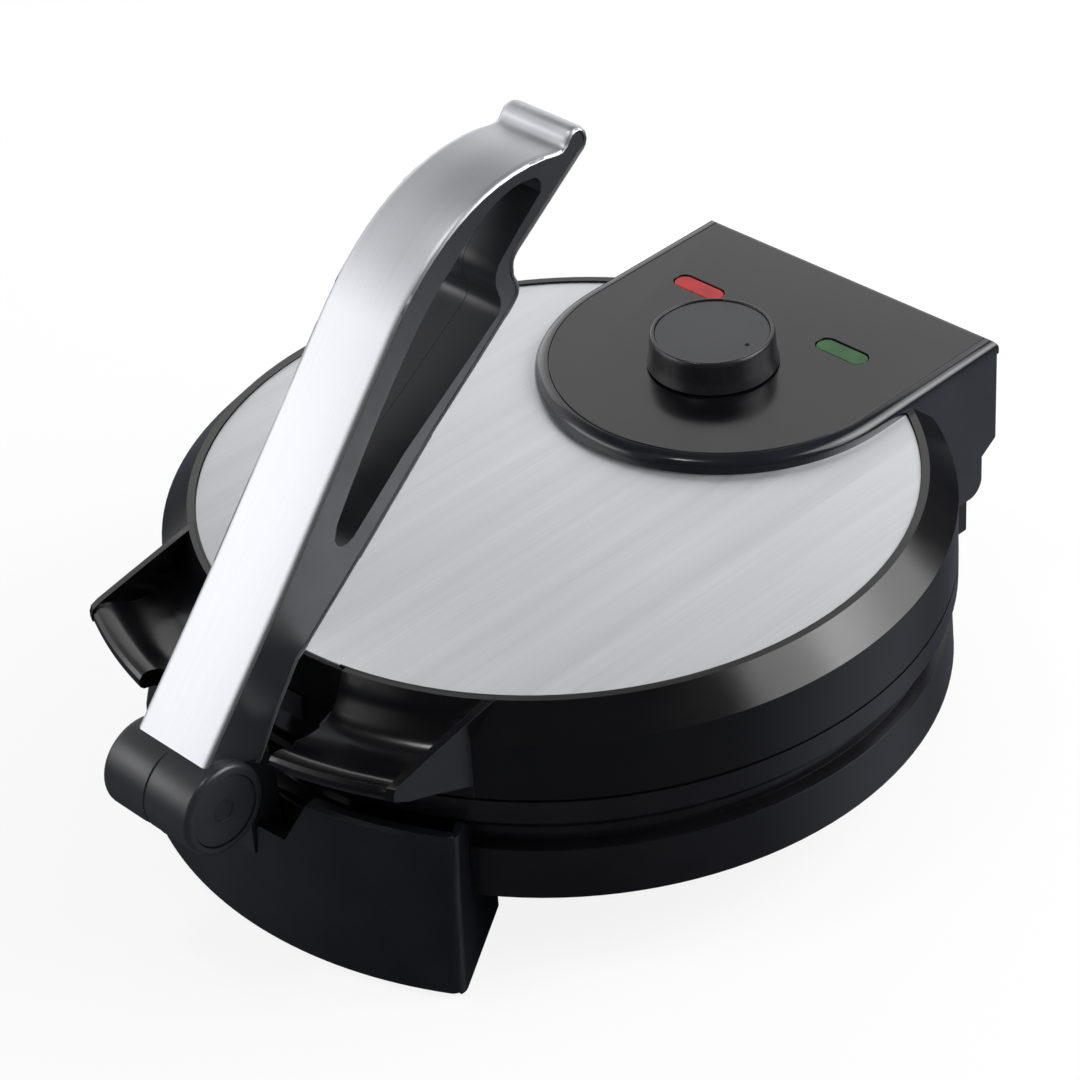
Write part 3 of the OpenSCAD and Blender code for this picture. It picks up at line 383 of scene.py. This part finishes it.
def is_bracket_corner(edge, reach):
    """Whether the edge is a long, upright outer corner at the bracket's right end."""
    low, high = edge.verts
    upright = abs(low.co.z - high.co.z) > 0.8 * edge.calc_length()
    at_end = min(low.co.x, high.co.x) > 0.93 * reach
    sharp = edge.is_convex and edge.calc_face_angle(0.0) > math.radians(50)
    return upright and at_end and sharp and edge.calc_length() > 15 * MM


def rounded_offsets(near, far, radius):
    """Distances to the two sides of a corner, near first, once the corner has that radius."""
    rest = radius - near
    if rest <= 0 or far - near >= rest:
        return near, far
    turn = min(1 - (far - near) / rest, math.sqrt(0.5))
    return near + rest * (1 - math.sqrt(1 - turn ** 2)), near + rest * (1 - turn)


def corner_at(line, height):
    """Where the corner, given as points from low to high, passes a height."""
    height = min(max(height, line[0].z), line[-1].z)
    for low, high in zip(line, line[1:]):
        if height <= high.z:
            return low.lerp(high, (height - low.z) / (high.z - low.z))


def round_bracket_ends(shape, radius):
    """Rounds the upright corners where the bracket's curved front meets its two ends."""
    shape.normal_update()
    reach = max(vert.co.x for vert in shape.verts)
    corner = [edge for edge in shape.edges if is_bracket_corner(edge, reach)]
    end = max(corner[0].link_faces, key=lambda face: face.normal.x).normal.copy()
    fronts = [min(edge.link_faces, key=lambda face: face.normal.x).normal.copy() for edge in corner]
    points = {vert: vert.co.copy() for edge in corner for vert in edge.verts}
    line = sorted(points.values(), key=lambda place: place.z)
    for side in (1, -1):
        for turn_deg in (0, 15, 30):
            inset = radius * (1 - math.sin(math.radians(turn_deg)))
            for normal, place in [(end, line[0])] + [(front, line[1]) for front in fronts]:
                plane_no = mirrored(normal, side)
                cut_all(shape, mirrored(place, side) - inset * plane_no, plane_no)
    for vert in shape.verts:
        place = corner_at(line, vert.co.z)
        inwards, back = place.x - abs(vert.co.x), place.y - vert.co.y
        to_end = inwards * end.x + back * end.y
        to_front = inwards * end.y - back * end.x
        near, far = rounded_offsets(min(to_end, to_front), max(to_end, to_front), radius)
        to_end, to_front = (near, far) if to_end < to_front else (far, near)
        if far < radius:
            vert.co.x = math.copysign(place.x - to_end * end.x - to_front * end.y, vert.co.x)
            vert.co.y = place.y - to_end * end.y + to_front * end.x


def lay_brush_map(shape):
    """Maps a sheet so that u runs across the brushing, which follows the sheet's length."""
    layer = shape.loops.layers.uv.new(BRUSH_MAP)
    for face in shape.faces:
        for loop in face.loops:
            x, y, z = loop.vert.co
            loop[layer].uv = (z, y) if abs(face.normal.x) > 0.7 else (x, y + z)


for node, width in EDGE_ROUNDING_MM.items():
    softened(node, width)
rolled_skin()


# --- studio ----------------------------------------------------------------

CAMERA_PLACE_MM = (675.6, -637.1, 733.5)    # seen from the body axis
CAMERA_AZIMUTH = math.radians(47.12)        # from the front towards the right
CAMERA_ELEVATION = math.radians(35.47)
CAMERA_ROLL = math.radians(-4.26)


def camera_like_photo():
    """The camera fitted to the photograph."""
    azimuth, elevation, roll = CAMERA_AZIMUTH, CAMERA_ELEVATION, CAMERA_ROLL
    back = Vector((math.sin(azimuth) * math.cos(elevation), -math.cos(azimuth) * math.cos(elevation),
                   math.sin(elevation)))
    level = Vector((math.cos(azimuth), math.sin(azimuth), 0))
    upright = back.cross(level)
    right = math.cos(roll) * level + math.sin(roll) * upright
    up = -math.sin(roll) * level + math.cos(roll) * upright
    data = bpy.data.cameras.new("photo_camera")
    data.sensor_width = 36
    data.lens = 114.9
    data.clip_start = 0.01
    data.clip_end = 50
    camera = bpy.data.objects.new("photo_camera", data)
    place = Matrix((right, up, back)).transposed().to_4x4()
    place.translation = (Vector(CAMERA_PLACE_MM) + Vector((0, AXIS_Y, 0))) * MM
    camera.matrix_world = place
    bpy.context.scene.collection.objects.link(camera)
    bpy.context.scene.camera = camera


BACKDROP_SIDE = (-0.91, -0.41, 0)   # where the mirrored white backdrop stands
BODY_MIDDLE = Vector((0, 0, 0.08))  # what the softboxes point at


def facing(tree, direction, towards, low, high):
    """How far a ray points a given way: 0 at the low cosine, 1 at the high one."""
    cosine = add(tree, "ShaderNodeVectorMath", {0: direction}, {1: towards}, operation="DOT_PRODUCT")
    return add(tree, "ShaderNodeMapRange", {"Value": cosine.outputs["Value"]},
               {"From Min": low, "From Max": high}, interpolation_type="SMOOTHSTEP").outputs["Result"]


def studio_world():
    """White backdrop to the left and behind, as the glossy plastic mirrors it, and a dark room in front."""
    world = bpy.data.worlds.new("studio")
    bpy.context.scene.world = world
    world.use_nodes = True
    tree = world.node_tree
    tree.nodes.clear()
    direction = add(tree, "ShaderNodeTexCoord").outputs["Generated"]
    left = facing(tree, direction, BACKDROP_SIDE, 0.35, 0.7)
    low = facing(tree, direction, (0, 0, -1), -0.85, -0.55)
    backdrop = add(tree, "ShaderNodeMath", {0: left, 1: low}, operation="MULTIPLY")
    level = add(tree, "ShaderNodeMapRange", {"Value": backdrop.outputs["Value"]},
                {"To Min": 0.05, "To Max": 0.98})
    seen = add(tree, "ShaderNodeLightPath").outputs
    ground = add(tree, "ShaderNodeBackground", values={"Color": (0.95, 0.97, 1, 1), "Strength": 0.4})
    mirrored = add(tree, "ShaderNodeBackground", {"Strength": level.outputs["Result"]},
                   {"Color": (0.98, 0.98, 1, 1)})
    white = add(tree, "ShaderNodeBackground", values={"Color": (1, 1, 1, 1), "Strength": 1.0})
    straight = add(tree, "ShaderNodeMath", {0: seen["Is Camera Ray"], 1: seen["Is Transmission Ray"]},
                   operation="ADD")
    plain = add(tree, "ShaderNodeMixShader",
                {0: seen["Is Glossy Ray"], 1: ground.outputs[0], 2: mirrored.outputs[0]})
    mixed = add(tree, "ShaderNodeMixShader",
                {0: straight.outputs[0], 1: plain.outputs[0], 2: white.outputs[0]})
    add(tree, "ShaderNodeOutputWorld", {"Surface": mixed.outputs[0]})


def studio_floor():
    """White paper floor: white to the camera with the shadow kept, and a soft grey in the glossy plastic."""
    shape = bmesh.new()
    bmesh.ops.create_grid(shape, x_segments=1, y_segments=1, size=6)
    mesh = bpy.data.meshes.new("floor")
    shape.to_mesh(mesh)
    shape.free()
    floor = bpy.data.objects.new("floor", mesh)
    bpy.context.scene.collection.objects.link(floor)
    material = bpy.data.materials.new("white_paper_floor")
    material.use_nodes = True
    tree = material.node_tree
    tree.nodes.clear()
    seen = add(tree, "ShaderNodeLightPath").outputs
    paper = add(tree, "ShaderNodeBsdfDiffuse", values={"Color": linear("efefef")})
    grey = add(tree, "ShaderNodeBsdfDiffuse", values={"Color": linear("3c3d42")})
    sheen = add(tree, "ShaderNodeBsdfGlossy",
                values={"Color": (0.075, 0.078, 0.09, 1), "Roughness": 0.42})
    shade = add(tree, "ShaderNodeAddShader", {0: grey.outputs[0], 1: sheen.outputs[0]})
    glow = add(tree, "ShaderNodeEmission", values={"Color": (1, 1, 1, 1), "Strength": 1.0})
    share = add(tree, "ShaderNodeMath", {0: seen["Is Camera Ray"]}, {1: 0.87}, operation="MULTIPLY")
    under = add(tree, "ShaderNodeMixShader",
                {0: seen["Is Glossy Ray"], 1: paper.outputs[0], 2: shade.outputs[0]})
    mixed = add(tree, "ShaderNodeMixShader", {0: share.outputs[0], 1: under.outputs[0], 2: glow.outputs[0]})
    add(tree, "ShaderNodeOutputMaterial", {"Surface": mixed.outputs[0]})
    mesh.materials.append(material)


def softbox(name, azimuth_deg, elevation_deg, distance, width, height, radiance):
    """A softbox that faces the object. Sizes are in metres, azimuth runs from +X towards +Y,
    and a radiance of 1 shows as white."""
    azimuth, elevation = math.radians(azimuth_deg), math.radians(elevation_deg)
    level = distance * math.cos(elevation)
    place = Vector((level * math.cos(azimuth), level * math.sin(azimuth), distance * math.sin(elevation)))
    data = bpy.data.lights.new(name, "AREA")
    data.shape = "RECTANGLE"
    data.size, data.size_y = width, height
    data.energy = radiance * math.pi * width * height
    light = bpy.data.objects.new(name, data)
    light.location = place + BODY_MIDDLE
    light.rotation_mode = "QUATERNION"
    light.rotation_quaternion = (-place).to_track_quat("-Z", "Y")
    bpy.context.scene.collection.objects.link(light)


bpy.context.scene.view_settings.view_transform = "Standard"
camera_like_photo()
studio_world()
studio_floor()
softbox("key_glow", 42, 35, 1.1, 1.05, 0.85, 3.2)
softbox("key_core", 45, 36, 1.09, 0.5, 0.45, 3.6)
softbox("back_left_card", 128, 22, 0.56, 0.8, 0.46, 1.02)
softbox("front_left_panel", -133, 24, 1.6, 1.1, 0.6, 2.15)
softbox("overhead_strip", -110, 72, 1.4, 0.25, 0.18, 20.0)
